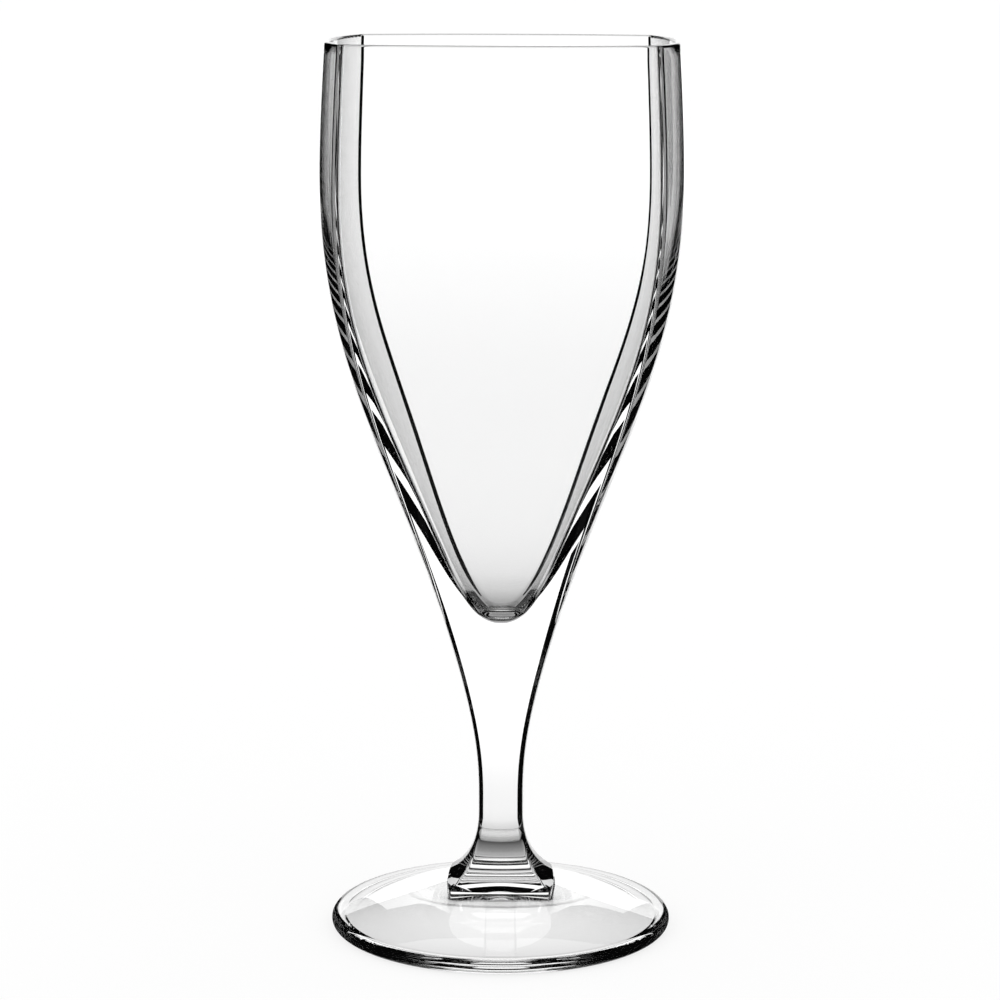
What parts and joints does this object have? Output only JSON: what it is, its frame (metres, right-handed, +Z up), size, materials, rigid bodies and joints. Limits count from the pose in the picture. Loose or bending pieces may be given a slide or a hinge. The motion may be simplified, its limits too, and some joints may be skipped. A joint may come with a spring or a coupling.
{
  "type": "footed iced tea glass",
  "caption": "Tall footed drinking glass with a soft-square tapered bowl, a drawn square stem and a round foot, for iced tea and other long cold drinks.",
  "frame": {"origin": "on the table under the middle of the foot", "axes": "+Z up along the stem, -Y towards the viewer in front of one bowl face, +X to that viewer's right"},
  "size_m": [0.0802, 0.0802, 0.2],
  "materials": {
    "clear_glass": "clear, fire-polished"
  },
  "bodies": {
    "root": {"bowl": "clear_glass", "stem": "clear_glass", "foot": "clear_glass"}
  },
  "joints": []
}
